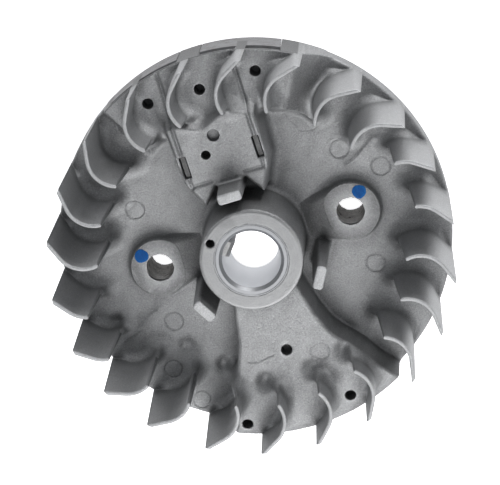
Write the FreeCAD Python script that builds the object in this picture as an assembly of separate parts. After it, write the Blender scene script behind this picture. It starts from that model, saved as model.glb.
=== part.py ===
import FreeCAD
import Part
import math
import os

# Cast fan flywheel of a small two-stroke engine.
# Millimetres.  +Z runs along the crankshaft bore towards the fan side, +Y points
# to the magnet, +X to the right-hand clutch bolt.  The origin is on the bore axis,
# in the plane of the two clutch bolt faces at the back.

# Fan and web
fan_radius = 53.4
rim_radius = 53.4
rim_bottom_z = 4.5
rim_inner_radius = 47.0
web_bottom_z = 7.2
floor_z = 11.4
fin_tip_z = 36.0
first_fin_angle = 75.84
# The steps between blades are uneven, which spreads the fan noise, and repeat after half a turn.
fin_steps = (16.1, 16.1, 17.5, 16.1, 15.8, 17.2, 16.1, 15.0, 15.8, 18.1, 16.2)
fin_lean = 46.0
fin_straight_length = 5.33
fin_curve_radius = 7.5
fin_tip_thickness = 1.0
fin_root_thickness = 1.9
fin_inner_end = 39.8
fin_root_growth = 1.6
# Blades beside the two bolt bosses stop short: blade number, inner end
short_fins = {6: 45.2, 7: 46.0, 8: 43.6, 9: 42.2, 17: 44.5, 18: 45.0}

# Hub, taper and key
hub_radius = 13.7
hub_top_z = 33.7
hub_bottom_z = 0.0
hub_edge_round = 0.9
insert_radius = 9.8
insert_bottom_z = 18.9
taper_mouth_radius = 7.76
taper_small_radius = 6.52
mouth_chamfer = 0.8
nut_recess_radius = 10.5
hub_back_radius = 16.0
socket_recess_radius = 13.0
socket_recess_top_z = 8.0
key_angle = 140.4
key_width = 4.0
key_inner_radius = 5.6
key_outer_radius = 8.8
key_bottom_z = 20.5
key_top_z = 32.4
hub_pin_hole_radius = 1.15
hub_pin_hole_distance = 11.6

# Clutch bolt bosses
bolt_spacing = 54.0
boss_face_z = 14.9
boss_radius = 7.9
boss_root_radius = 8.5
boss_back_radius = 9.0
boss_cut_x = 20.6
thread_radius = 3.5
insert_wire_outer_radius = 4.3
paint_radius = 1.9
paint_thickness = 0.1
paint_position = (30.75, 4.6)

# Drive lugs round the hub
lug_distance = 18.3
lug_length = 6.4
lug_thickness = 2.7
lug_root_growth = 0.5

# Magnet housing
housing_half_angle = 30.0
housing_floor_z = 20.5
housing_inner_radius = 38.0
pad_z = 25.8
pad_outline = ((-12.0, 38.5), (-11.4, 22.6), (-7.9, 15.2), (-3.9, 20.0),
               (4.4, 20.0), (7.9, 14.8), (11.4, 22.6), (12.0, 38.5))
pad_edge_round = 0.8
outline_groove_width = 1.0
outline_groove_depth = 0.5
window_size = (1.9, 5.9)
window_centre = (10.0, 26.8)
window_bottom_z = 20.4

# Magnet and its two poles
plate_centre_x = 10.0
plate_thickness = 1.2
plate_start_y = 22.3
plate_step_y = 31.5
plate_bottom_z = 6.0
plate_low_top_z = 18.6
plate_high_top_z = 24.4
magnet_end_y = 33.0
magnet_top_z = 22.0
pole_inner_radius = 49.4
right_pole_angles = (64.8, 87.9)
left_pole_angles = (94.7, 117.8)
sheet_count = 11
sheet_thickness = 1.0
rivet_radius = 1.0
rivet_end_margin = 4.5
pole_groove_top_z = 19.4
pole_groove_radius = 51.4

# Counterweight
counterweight_z = 24.2
counterweight_rim_drop = 1.7
counterweight_left = ((-9.6, -12.0), (-11.8, -24.0), (-14.4, -31.0), (-17.0, -40.5), (-21.5, -50.5))
counterweight_right = ((8.0, -12.0), (10.3, -21.6), (12.6, -27.8), (17.0, -33.8), (21.0, -39.0), (28.0, -48.0))

# Core-pin holes: x, y, opening height, radius, depth
pin_holes = (
    (-14.7, 45.1, housing_floor_z, 1.45, 5.0),
    (-0.5, 44.8, housing_floor_z, 1.45, 5.0),
    (14.9, 45.1, housing_floor_z, 1.45, 5.0),
    (-0.2, 33.1, pad_z, 1.6, 1.6),
    (-3.7, 28.6, pad_z, 1.2, 9.0),
    (0.0, -29.4, counterweight_z, 1.5, 4.0),
    (12.5, -47.2, counterweight_z, 1.5, 7.0),
    (-16.8, -47.2, counterweight_z, 1.5, 7.0),
)

# Ejector-pin marks: x, y, height of the surface they press on
mark_radius = 2.5
mark_depth = 0.15
mark_ring = 33.4
mark_angles = (30.0, 150.0, 210.0, 330.0)
loose_marks = (
    (-33.4, -30.0, floor_z),
    (-28.6, -40.6, floor_z),
    (38.1, 8.8, floor_z),
    (-23.4, 39.6, housing_floor_z),
    (8.4, -32.4, counterweight_z),
)


def vec(x, y, z=0.0):
    return FreeCAD.Vector(x, y, z)


def polar(radius, angle, z=0.0):
    turn = math.radians(angle)
    return vec(radius * math.cos(turn), radius * math.sin(turn), z)


def cylinder(radius, z0, z1, x=0.0, y=0.0):
    return Part.makeCylinder(radius, z1 - z0, vec(x, y, z0))


def box(x0, x1, y0, y1, z0, z1):
    return Part.makeBox(x1 - x0, y1 - y0, z1 - z0, vec(x0, y0, z0))


def prism(points, z0, z1):
    corners = [vec(x, y, z0) for x, y in points]
    face = Part.Face(Part.makePolygon(corners + corners[:1]))
    return face.extrude(vec(0, 0, z1 - z0))


def ring_sector(r0, r1, a0, a1, z0, z1):
    middle = (a0 + a1) / 2
    outer = Part.Arc(polar(r1, a0, z0), polar(r1, middle, z0), polar(r1, a1, z0)).toShape()
    inner = Part.Arc(polar(r0, a1, z0), polar(r0, middle, z0), polar(r0, a0, z0)).toShape()
    side_one = Part.makeLine(polar(r1, a1, z0), polar(r0, a1, z0))
    side_two = Part.makeLine(polar(r0, a0, z0), polar(r1, a0, z0))
    face = Part.Face(Part.Wire([outer, side_one, inner, side_two]))
    return face.extrude(vec(0, 0, z1 - z0))


def turned(profile):
    points = [vec(r, 0, z) for r, z in profile]
    face = Part.Face(Part.makePolygon(points + points[:1]))
    return face.revolve(vec(0, 0, 0), vec(0, 0, 1), 360)


def mirrored(shape):
    return shape.mirror(vec(0, 0, 0), vec(1, 0, 0))


def rotated(shape, angle):
    turned_shape = shape.copy()
    turned_shape.rotate(vec(0, 0, 0), vec(0, 0, 1), angle)
    return turned_shape


def fused(shapes):
    return shapes[0].multiFuse(list(shapes[1:]))


def top_edges(shape, z):
    return [e for e in shape.Edges if abs(e.BoundBox.ZMin - z) < 1e-6 and abs(e.BoundBox.ZMax - z) < 1e-6]


def fin_outline(z, thickness, inner_end):
    """Blade outline: straight at the rim, then one arc that turns back towards the hub."""
    lean = math.radians(fin_lean)
    along = (-math.cos(lean), math.sin(lean))
    across = (-math.sin(lean), -math.cos(lean))
    bend_x = fan_radius + fin_straight_length * along[0]
    bend_y = fin_straight_length * along[1]
    centre_x = bend_x + fin_curve_radius * across[0]
    centre_y = bend_y + fin_curve_radius * across[1]
    start = 90.0 - fin_lean
    end = math.degrees(math.acos((inner_end - centre_x) / fin_curve_radius))

    def on_arc(radius, angle):
        turn = math.radians(angle)
        return vec(centre_x + radius * math.cos(turn), centre_y + radius * math.sin(turn), z)

    def beyond_rim(point):
        reach = fin_straight_length + 3.0
        return vec(point.x - reach * along[0], point.y - reach * along[1], z)

    outside = fin_curve_radius + thickness / 2
    inside = fin_curve_radius - thickness / 2
    middle = (start + end) / 2
    outer_bend = on_arc(outside, start)
    inner_bend = on_arc(inside, start)
    edges = [
        Part.makeLine(beyond_rim(outer_bend), outer_bend),
        Part.Arc(outer_bend, on_arc(outside, middle), on_arc(outside, end)).toShape(),
        Part.makeLine(on_arc(outside, end), on_arc(inside, end)),
        Part.Arc(on_arc(inside, end), on_arc(inside, middle), inner_bend).toShape(),
        Part.makeLine(inner_bend, beyond_rim(inner_bend)),
        Part.makeLine(beyond_rim(inner_bend), beyond_rim(outer_bend)),
    ]
    return Part.Wire(edges)


def fan_fin(inner_end):
    root_z = floor_z - 2.0
    root = fin_outline(root_z, fin_root_thickness, inner_end - fin_root_growth)
    tip = fin_outline(fin_tip_z, fin_tip_thickness, inner_end)
    blade = Part.makeLoft([root, tip], True, True)
    return blade.common(cylinder(fan_radius, root_z, fin_tip_z))


def fan_fins():
    fins = []
    angle = first_fin_angle
    for index, step in enumerate(fin_steps + fin_steps):
        fins.append(rotated(fan_fin(short_fins.get(index, fin_inner_end)), angle))
        angle += step
    return fins


def web_and_rim():
    profile = (
        (hub_radius - 2.0, web_bottom_z),
        (rim_inner_radius - 1.0, web_bottom_z),
        (rim_inner_radius, rim_bottom_z),
        (rim_radius, rim_bottom_z),
        (rim_radius, floor_z - 0.8),
        (rim_radius - 0.8, floor_z),
        (hub_radius - 2.0, floor_z),
    )
    return turned(profile)


def hub():
    body = cylinder(hub_radius, web_bottom_z, hub_top_z)
    body = body.makeFillet(hub_edge_round, top_edges(body, hub_top_z))
    return body.fuse(cylinder(hub_back_radius, hub_bottom_z, floor_z - 1.0))


def bolt_boss():
    x = bolt_spacing / 2
    island = Part.makeCone(boss_root_radius, boss_radius, boss_face_z - floor_z, vec(x, 0, floor_z))
    slope = ((boss_cut_x - 0.5, 12.0), (boss_cut_x + 1.1, -12.0), (x + 14.0, -12.0), (x + 14.0, 12.0))
    island = island.common(prism(slope, floor_z - 1.0, boss_face_z))
    column = cylinder(boss_back_radius, 0.0, floor_z, x, 0.0)
    return island.fuse(column)


def drive_lug():
    half_length = lug_length / 2
    half_thickness = lug_thickness / 2
    wires = []
    for z, growth in ((floor_z - 1.0, lug_root_growth), (fin_tip_z, 0.0)):
        length = half_length + growth
        thickness = half_thickness + growth
        corners = [vec(lug_distance + sx * thickness, sy * length, z)
                   for sx, sy in ((-1, -1), (1, -1), (1, 1), (-1, 1))]
        wires.append(Part.makePolygon(corners + corners[:1]))
    lug = Part.makeLoft(wires, True, True)
    uprights = [e for e in lug.Edges if e.BoundBox.ZLength > 1.0]
    return lug.makeFillet(0.7, uprights)


def housing():
    a0 = 90 - housing_half_angle
    a1 = 90 + housing_half_angle
    shelf = ring_sector(housing_inner_radius, fan_radius, a0, a1, rim_bottom_z, housing_floor_z)
    block = prism(pad_outline, rim_bottom_z, pad_z)
    block = block.makeFillet(pad_edge_round, top_edges(block, pad_z))
    return shelf.fuse(block)


def counterweight():
    left_end = counterweight_left[-1]
    right_end = counterweight_right[-1]
    far = 1.25
    points = list(counterweight_left)
    points += [(left_end[0] * far, left_end[1] * far), (0.0, -66.0), (right_end[0] * far, right_end[1] * far)]
    points += list(reversed(counterweight_right))
    block = prism(points, rim_bottom_z, counterweight_z)
    bevel_radius = fan_radius - 10.0
    envelope = turned((
        (0.0, rim_bottom_z),
        (fan_radius, rim_bottom_z),
        (fan_radius, counterweight_z - counterweight_rim_drop),
        (bevel_radius, counterweight_z),
        (0.0, counterweight_z),
    ))
    return block.common(envelope)


def outline_groove():
    x = plate_centre_x
    half = outline_groove_width / 2
    start = window_centre[1] + window_size[1] / 2
    pad_low = pad_z - outline_groove_depth
    shelf_low = housing_floor_z - outline_groove_depth
    cuts = [
        box(x - half, x + half, start, 38.5, pad_low, pad_z + 1.0),
        box(x - half, x + half, 38.5, 52.0, shelf_low, housing_floor_z + 1.0),
        box(x - half, x + half, 20.9, window_centre[1], pad_low, pad_z + 1.0),
        box(4.4, x + half, 20.9, 20.9 + outline_groove_width, pad_low, pad_z + 1.0),
    ]
    one_side = fused(cuts)
    return one_side.fuse(mirrored(one_side))


def side_plate():
    x0 = plate_centre_x - plate_thickness / 2
    x1 = plate_centre_x + plate_thickness / 2
    end_y = math.sqrt(pole_inner_radius ** 2 - x1 ** 2)
    low = box(x0, x1, plate_start_y, end_y, plate_bottom_z, plate_low_top_z)
    high = box(x0, x1, plate_start_y, plate_step_y, plate_bottom_z, plate_high_top_z)
    return low.fuse(high).removeSplitter()


def magnet_block():
    x = plate_centre_x - plate_thickness / 2
    return box(-x, x, plate_start_y, magnet_end_y, plate_bottom_z, magnet_top_z)


def rivet_angles(pole_angles):
    return (pole_angles[0] + rivet_end_margin, pole_angles[1] - rivet_end_margin)


def rivets():
    pins = []
    for pole_angles in (left_pole_angles, right_pole_angles):
        for angle in rivet_angles(pole_angles):
            spot = polar((pole_inner_radius + fan_radius) / 2, angle)
            top = rim_bottom_z + sheet_count * sheet_thickness
            pins.append(cylinder(rivet_radius, rim_bottom_z, top, spot.x, spot.y))
    return Part.makeCompound(pins)


def pole_sheet(pole_angles, index):
    z = rim_bottom_z + index * sheet_thickness
    a0, a1 = pole_angles
    sheet = ring_sector(pole_inner_radius, fan_radius, a0, a1, z, z + sheet_thickness)
    for angle in rivet_angles(pole_angles):
        spot = polar((pole_inner_radius + fan_radius) / 2, angle)
        sheet = sheet.cut(cylinder(rivet_radius, z - 1, z + sheet_thickness + 1, spot.x, spot.y))
    return sheet


def hub_insert():
    blank = turned((
        (taper_small_radius, insert_bottom_z),
        (insert_radius, insert_bottom_z),
        (insert_radius, hub_top_z),
        (taper_mouth_radius + mouth_chamfer, hub_top_z),
        (taper_mouth_radius, hub_top_z - mouth_chamfer),
    ))
    return blank.cut(drive_key())


def drive_key():
    half = key_width / 2
    blank = box(key_inner_radius, key_outer_radius, -half, half, key_bottom_z, key_top_z)
    lead_in = ((key_inner_radius - 1.0, key_top_z + 1.0), (key_inner_radius - 1.0, key_top_z - 2.0),
               (key_inner_radius + 2.0, key_top_z + 1.0))
    points = [vec(x, -half - 1, z) for x, z in lead_in]
    wedge = Part.Face(Part.makePolygon(points + points[:1])).extrude(vec(0, key_width + 2, 0))
    return rotated(blank.cut(wedge), key_angle)


def wire_thread_insert():
    x = bolt_spacing / 2
    sleeve = cylinder(insert_wire_outer_radius, 0.3, boss_face_z - 0.3, x, 0.0)
    return sleeve.cut(cylinder(thread_radius, 0.0, boss_face_z, x, 0.0))


def paint_mark():
    x, y = paint_position
    return cylinder(paint_radius, boss_face_z, boss_face_z + paint_thickness, x, y)


def insert_seat():
    x = bolt_spacing / 2
    bore = cylinder(thread_radius + 0.05, -1.0, boss_face_z + 1.0, x, 0.0)
    seat = cylinder(insert_wire_outer_radius, 0.3, boss_face_z - 0.3, x, 0.0)
    return bore.fuse(seat)


def window():
    x, y = window_centre
    half_x = window_size[0] / 2
    half_y = window_size[1] / 2
    return box(x - half_x, x + half_x, y - half_y, y + half_y, window_bottom_z, pad_z + 1.0)


def ejector_marks():
    marks = []
    for angle in mark_angles:
        spot = polar(mark_ring, angle)
        marks.append(cylinder(mark_radius, floor_z - mark_depth, floor_z + 1.0, spot.x, spot.y))
    for x, y, z in loose_marks:
        marks.append(cylinder(mark_radius, z - mark_depth, z + 0.3, x, y))
    return marks


def casting():
    boss = bolt_boss()
    body = fused([web_and_rim(), hub(), boss, mirrored(boss), housing(), counterweight()])
    body = body.cut(Part.makeCompound(ejector_marks()))
    body = body.cut(outline_groove())
    lugs = [rotated(drive_lug(), angle) for angle in (90, 210, 330)]
    body = fused([body] + fan_fins() + lugs)
    pole_top = rim_bottom_z + sheet_count * sheet_thickness
    cuts = [
        cylinder(insert_radius, insert_bottom_z, hub_top_z + 1.0),
        cylinder(nut_recess_radius, socket_recess_top_z - 0.5, insert_bottom_z),
        cylinder(socket_recess_radius, -1.0, socket_recess_top_z),
        insert_seat(),
        mirrored(insert_seat()),
        window(),
        mirrored(window()),
        magnet_block(),
        side_plate(),
        mirrored(side_plate()),
    ]
    for a0, a1 in (left_pole_angles, right_pole_angles):
        cuts.append(ring_sector(pole_inner_radius, fan_radius + 1, a0, a1, rim_bottom_z - 1, pole_top))
        cuts.append(ring_sector(pole_groove_radius, fan_radius + 1, a0, a1, pole_top - 0.1, pole_groove_top_z))
    for x, y, z, radius, depth in pin_holes:
        cuts.append(cylinder(radius, z - depth, z + 1.0, x, y))
    pin = polar(hub_pin_hole_distance, key_angle)
    cuts.append(cylinder(hub_pin_hole_radius, hub_top_z - 6.0, hub_top_z + 1.0, pin.x, pin.y))
    for cut in cuts:
        body = body.cut(cut)
    return body


def build_nodes():
    plate = side_plate()
    insert = wire_thread_insert()
    paint = paint_mark()
    left_paint = paint.copy()
    left_paint.translate(vec(-2 * paint_position[0], 0, 0))
    nodes = {
        "flywheel_casting": casting(),
        "hub_insert": hub_insert(),
        "drive_key": drive_key(),
        "right_thread_insert": insert,
        "left_thread_insert": mirrored(insert),
        "magnet_block": magnet_block(),
        "right_pole_plate": plate,
        "left_pole_plate": mirrored(plate),
        "pole_rivets": rivets(),
        "right_paint_mark": paint,
        "left_paint_mark": left_paint,
    }
    for side, pole_angles in (("left", left_pole_angles), ("right", right_pole_angles)):
        for index in range(sheet_count):
            nodes["%s_pole_sheet_%02d" % (side, index + 1)] = pole_sheet(pole_angles, index)
    return nodes


def main():
    os.makedirs("parts", exist_ok=True)
    for name, shape in build_nodes().items():
        shape.exportStep("parts/%s.step" % name)
        print(name, "solids", len(shape.Solids), "valid", shape.isValid(), "volume", round(shape.Volume, 1))


main()
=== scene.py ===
# %% [markdown]
# # The cast fan flywheel of a small two-stroke engine
# The wheel is one aluminium die casting with a bush, a magnet and two stacks of
# steel sheets held in it. This notebook dresses the measured frame: it makes the
# casting with its soft corners, the curved fan blades, the wire threads and the
# paint, and gives every part a worn, uneven finish.

# %% The measured frame
import math
import bpy
import numpy as np
from mathutils import Matrix, Vector


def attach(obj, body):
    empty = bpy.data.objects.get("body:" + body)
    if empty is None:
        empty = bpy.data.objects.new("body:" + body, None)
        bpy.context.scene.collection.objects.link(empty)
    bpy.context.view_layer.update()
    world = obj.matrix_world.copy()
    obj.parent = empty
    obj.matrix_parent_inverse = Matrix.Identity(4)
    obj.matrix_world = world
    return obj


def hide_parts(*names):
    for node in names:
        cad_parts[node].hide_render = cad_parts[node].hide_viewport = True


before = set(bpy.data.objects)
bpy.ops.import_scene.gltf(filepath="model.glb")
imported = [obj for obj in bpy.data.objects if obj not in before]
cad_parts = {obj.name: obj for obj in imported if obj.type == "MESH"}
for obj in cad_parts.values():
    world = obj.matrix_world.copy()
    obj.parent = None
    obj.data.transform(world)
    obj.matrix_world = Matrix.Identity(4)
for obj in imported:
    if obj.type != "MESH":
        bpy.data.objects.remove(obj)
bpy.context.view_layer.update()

MM = 0.001
print("nodes in the frame:", len(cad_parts))

# %% [markdown]
# ## Sizes of the wheel
# All sizes are in millimetres and match the frame: the origin is on the crankshaft
# axis in the plane of the clutch, +Z is the fan side and +Y points to the magnet.

# %% Sizes
fan_radius, rim_radius, rim_inner_radius = 53.4, 53.3, 47.0
rim_bottom, web_bottom, floor_height, blade_top = 4.5, 7.2, 11.4, 36.0
hub_radius, hub_top, bush_radius, bush_bottom = 13.7, 33.7, 9.8, 18.9
nut_radius, socket_radius, socket_top, hub_back_radius = 10.5, 13.0, 8.0, 16.0
bolt_x, boss_face, thread_radius, wire_radius_out = 27.0, 14.9, 3.5, 4.3
lug_distance, lug_angles, key_angle = 18.3, (90, 210, 330), 140.4
shelf_height, pad_height, weight_height = 20.5, 25.8, 24.2
pole_inner_radius, pole_top, pole_groove_radius, pole_groove_top = 49.4, 15.5, 51.4, 19.4
pole_spans = {"left": (94.7, 117.8), "right": (64.8, 87.9)}
pad_corners = [(-12.0, 38.5), (-11.4, 22.6), (-7.9, 15.2), (-3.9, 20.0),
               (4.4, 20.0), (7.9, 14.8), (11.4, 22.6), (12.0, 38.5)]
weight_corners = [(-9.6, -12.0), (-11.8, -24.0), (-14.4, -31.0), (-17.0, -40.5), (-21.5, -50.5),
                  (-26.9, -63.1), (0.0, -66.0), (35.0, -60.0),
                  (28.0, -48.0), (21.0, -39.0), (17.0, -33.8), (12.6, -27.8), (10.3, -21.6), (8.0, -12.0)]
print("wheel", 2 * fan_radius, "mm across,", blade_top, "mm tall")

# %% [markdown]
# ## Shapes as distances
# A die casting has no sharp inner corners: metal flows round a fillet wherever a
# wall meets a floor. Bevels can't be relied on where thirty walls meet. Instead each
# lump is written as a distance, which is negative inside the metal. Two distances
# can be joined with a true fillet or cut with a rounded edge by one short formula.

# %% Joining and cutting distances
def fillet(a, b, r):
    """Two lumps grow together over a hollow fillet of radius r."""
    return np.maximum(np.minimum(a, b), r) - np.hypot(np.maximum(r - a, 0), np.maximum(r - b, 0))


def rounded(a, b, r):
    """What lies inside both shapes, with its outer edge rounded to r."""
    return np.minimum(np.maximum(a, b), -r) + np.hypot(np.maximum(a + r, 0), np.maximum(b + r, 0))


def carved(a, tool, r):
    """a with the tool's shape taken out and the mouth's edge rounded to r."""
    return rounded(a, -tool, r)


def slab(z, low, high):
    """Distance to the layer between two levels of one coordinate."""
    return np.maximum(z - high, low - z)


def soft_step(t):
    t = np.clip(t, 0, 1)
    return t * t * (3 - 2 * t)


# %% Outlines, sectors and places
def outline(x, y, corners):
    """Distance to a closed outline seen from above, negative inside."""
    nearest = np.full(x.shape, 1e9)
    inside = np.zeros(x.shape, bool)
    for (ax, ay), (bx, by) in zip(corners, corners[1:] + corners[:1]):
        ex, ey = bx - ax, by - ay
        t = np.clip(((x - ax) * ex + (y - ay) * ey) / (ex * ex + ey * ey), 0, 1)
        nearest = np.minimum(nearest, (x - ax - ex * t) ** 2 + (y - ay - ey * t) ** 2)
        slope = ex / ey if ey else 0.0
        inside ^= ((ay <= y) != (by <= y)) & (x - ax < (y - ay) * slope)
    return np.where(inside, -1, 1) * np.sqrt(nearest)


def sector(x, y, first, last):
    """Distance to the wedge between two angles round the axis."""
    a, b = math.radians(first), math.radians(last)
    return np.maximum(x * math.sin(a) - y * math.cos(a), y * math.cos(b) - x * math.sin(b))


def nearby(x, y, cx, cy, reach):
    return (x - cx) ** 2 + (y - cy) ** 2 < reach * reach


def on_circle(radius, angle):
    """The place at an angle in degrees on a circle round the axis."""
    return radius * math.cos(math.radians(angle)), radius * math.sin(math.radians(angle))


print("fillet between two faces 1 mm away:", round(float(fillet(np.array(1.0), np.array(1.0), 2.0)), 3))

# %% [markdown]
# ## The fan blades as a rule
# Each blade starts straight at the rim, leaning back 46 degrees, and then curls
# towards the hub on one arc. The steps between blades are uneven, which spreads the
# whine of the fan over several notes. Blades next to the bolt bosses are shorter.

# %% Blade rule
blade_steps = (16.1, 16.1, 17.5, 16.1, 15.8, 17.2, 16.1, 15.0, 15.8, 18.1, 16.2)
first_blade = 75.84
blade_angles = [first_blade + sum((blade_steps * 2)[:n]) for n in range(22)]
inner_ends = {6: 45.2, 7: 46.0, 8: 43.6, 9: 42.2, 17: 44.5, 18: 45.0}
blade_ends = [inner_ends.get(n, 39.8) for n in range(22)]
lean, straight, bend_radius = math.radians(46.0), 5.33, 7.5
tip_width, root_width, root_height, root_growth = 1.0, 1.9, 9.4, 1.6
blade_middle = 45.5
bend_start = math.pi / 2 - lean
bend_x = fan_radius - straight * math.cos(lean) - bend_radius * math.sin(lean)
bend_y = straight * math.sin(lean) - bend_radius * math.cos(lean)


def blade(x, y, z, angle, inner_end):
    """Distance to one blade of unlimited height."""
    c, s = math.cos(math.radians(angle)), math.sin(math.radians(angle))
    u, v = x * c + y * s - bend_x, y * c - x * s - bend_y
    drop = np.clip((blade_top - z) / (blade_top - root_height), 0, 1)
    end = np.arccos((inner_end - root_growth * drop - bend_x) / bend_radius)
    turn = np.arctan2(v, u)
    on_arc = np.abs(np.hypot(u, v) - bend_radius)
    on_line = np.abs(u * math.cos(bend_start) + v * math.sin(bend_start) - bend_radius)
    at_end = np.hypot(u - bend_radius * np.cos(end), v - bend_radius * np.sin(end))
    middle = np.where(turn < bend_start, on_line, np.where(turn < end, on_arc, at_end))
    middle = np.where(turn < -math.pi / 2, at_end, middle)
    return middle - (tip_width + (root_width - tip_width) * drop) / 2


def blades_near(x, y, reach, where=True):
    """Each blade's angle and inner end, with the points that are near its middle."""
    for angle, end in zip(blade_angles, blade_ends):
        here = nearby(x, y, *on_circle(blade_middle, angle + 4), reach) & where
        if here.any():
            yield angle, end, here


print("blade angles:", [round(a % 360) for a in blade_angles])

# %% [markdown]
# ## The lumps of the casting
# The web, the magnet housing, the counterweight, the hub, the two bolt bosses and
# the three drive lugs are joined one after another. Faces that are level with each
# other are joined without a fillet, or the fillet would swell there.

# %% Marks left by the die
die_marks = [(28.9, 16.7), (-28.9, 16.7), (-28.9, -16.7), (28.9, -16.7), (-33.4, -30.0),
             (-28.6, -40.6), (38.1, 8.8), (-23.4, 39.6), (8.4, -32.4)]
# start, end, height and width of each line that flowing metal left
flow_lines = [((-43.4, -17.6), (-32.5, -12.8), 0.95, 1.5), ((29.6, 11.7), (38.5, 16.5), 0.80, 1.4),
              ((-10.7, -29.8), (-4.1, -30.3), -0.16, 0.25), ((-20.0, 33.0), (-31.0, 24.0), 0.07, 0.5),
              ((18.0, 30.5), (20.4, 24.5), -0.10, 0.25), ((20.4, 24.5), (27.5, 23.8), -0.08, 0.25),
              ((18.0, -24.0), (31.0, -27.0), 0.07, 0.4), ((-24.0, -15.0), (-17.5, -33.0), 0.06, 0.4)]
groove_lines = [((10.0, 20.9), (10.0, 52.5)), ((4.6, 21.3), (9.6, 21.3))]
# x, y, radius and depth of each soft hollow between the blades
hollow_spots = [(-8.2, -36.6, 2.4, 2.2), (-4.7, -39.6, 2.2, 1.6), (5.2, -36.6, 2.4, 2.2),
                (8.2, -39.8, 2.2, 1.6), (14.6, -33.9, 2.2, 2.0), (-44.0, -12.6, 2.0, 1.6),
                (-34.5, -22.5, 2.6, 1.2), (-27.6, -24.6, 2.2, 1.4), (-26.6, -29.5, 2.0, 1.2),
                (-19.6, -32.6, 2.0, 1.4)]


def from_line(x, y, start, end, wave=0.0):
    """Distance to a line between two places seen from above."""
    ex, ey = end[0] - start[0], end[1] - start[1]
    t = np.clip(((x - start[0]) * ex + (y - start[1]) * ey) / (ex * ex + ey * ey), 0, 1)
    return np.hypot(x - start[0] - ex * t, y - start[1] - ey * t + wave * np.sin(5 * t))


def relief(x, y):
    """Height of the small marks on the cast faces: waviness, ejector rings, flow lines."""
    height = 0.05 * np.sin(0.52 * x + 1.7 * np.sin(0.23 * y)) * np.sin(0.47 * y + 1.3)
    height += 0.03 * np.sin(1.13 * x - 0.71 * y + 2.0)
    for mx, my in die_marks:
        d = np.hypot(x - mx, y - my) - 2.5
        height += -0.10 * soft_step(0.5 - d * 3) - 0.16 * np.exp(-(d / 0.22) ** 2)
    for start, end, size, width in flow_lines:
        height += size * np.exp(-(from_line(x, y, start, end, 0.4) / width) ** (1 if size > 0.3 else 2))
    for cx, cy, radius, depth in hollow_spots:
        height -= depth * np.exp(-((x - cx) ** 2 + (y - cy) ** 2) / radius ** 2)
    for start, end in groove_lines:
        height -= 0.55 * np.exp(-(from_line(np.abs(x), y, start, end) / 0.5) ** 2)
    machined = np.minimum(np.hypot(x, y) - 14.2, np.hypot(np.abs(x) - bolt_x, y) - 8.2)
    return height * soft_step(machined / 0.8)


# %% Web, housing and counterweight
def web(z, r):
    disc = rounded(r - rim_radius, slab(z, rim_bottom, floor_height), 0.9)
    return carved(disc, rounded(r - rim_inner_radius, z - web_bottom, 1.5), 0.4)


def magnet_shelf(x, y, z, r):
    """The shelf under the pole plates. Its right-hand end runs out in a long slope."""
    drop = np.clip(shelf_height - z, 0, 9)
    side = sector(x, y, 60, 120) - np.where(x > 0, 0.9, 0.12) * drop
    sides = np.maximum(side, 38.0 - r - 0.12 * drop)
    block = rounded(sides, slab(z, rim_bottom, shelf_height), 0.9)
    return rounded(block, r - fan_radius, 0.25)


def magnet_pad(x, y, z, r):
    """The pad's outer end runs down to the shelf in a soft ramp."""
    beyond = y - 36.2 - 1.1 * np.sin(0.42 * x - 0.4)
    ramp = (1 - (1 - np.clip(beyond / 7.5, 0, 1)) ** 2.5) * soft_step(beyond / 2.4)
    sides = outline(x, np.where(y < 34, y, 34 + (y - 34) * 0.5), pad_corners)
    sides = sides - np.clip(0.07 * (pad_height - z), 0, 1)
    top = pad_height - (pad_height - shelf_height) * ramp
    return rounded(sides, slab(z, 8.5, top), 1.1)


def counterweight(x, y, z, r):
    lean_out = np.where(x > 0, 0.05, 0.02)
    sides = outline(x, y, weight_corners) - np.clip(lean_out * (weight_height - z), 0, 1.5)
    top = weight_height - 1.7 * soft_step((r - 43.0) / 10.4) - 0.5 * soft_step((r - 51.6) / 1.8)
    block = rounded(sides, slab(z, rim_bottom, top), 1.1)
    return rounded(block, r - fan_radius, 0.5)


# %% Hub, bosses and lugs
def hub_front(x, y, z, r):
    return rounded(r - hub_radius, slab(z, 5, hub_top), 0.9)


def hub_back(x, y, z, r):
    return rounded(r - hub_back_radius, slab(z, 0, 9), 0.6)


def boss(x, y, z, r):
    """A round island with a ramp down to the hub's side, where it is cut straight."""
    across = np.hypot(np.abs(x) - bolt_x, y)
    drop = np.clip(boss_face - z, 0, 4)
    hub_side = soft_step((bolt_x - 1.0 - np.abs(x)) / 5.0) * soft_step((8.0 - np.abs(y)) / 4.0)
    island = across - 7.9 - (0.12 + 1.7 * hub_side) * drop
    straight_side = 20.6 - 0.067 * y - np.abs(x) - 1.8 * drop
    return rounded(rounded(island, straight_side, 1.5), slab(z, 9.0, boss_face), 0.2)


def boss_column(x, y, z, r):
    """The column behind a boss, which carries the clutch bolt's thread."""
    return rounded(np.hypot(np.abs(x) - bolt_x, y) - 9.0, slab(z, 0, 9), 0.6)


def lug(angle):
    """The drive lug at an angle, as a distance that grows a little towards its root."""
    c, s = on_circle(1, angle)

    def distance(x, y, z, r):
        grow = 0.5 * (blade_top - z) / (blade_top - floor_height)
        thick = np.abs(x * c + y * s - lug_distance) - 1.35 - grow
        long = np.abs(y * c - x * s) - 3.2 - grow
        return rounded(rounded(thick, long, 0.8), slab(z, 9.0, blade_top), 0.3)

    return distance


def join(total, part, spot, here, radius):
    """Joins a small part into the total, only at the points that are near it."""
    if here.any():
        distance = part(*(v[here] for v in spot))
        total[here] = fillet(total[here], distance, radius[here] if np.ndim(radius) else radius)


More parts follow.
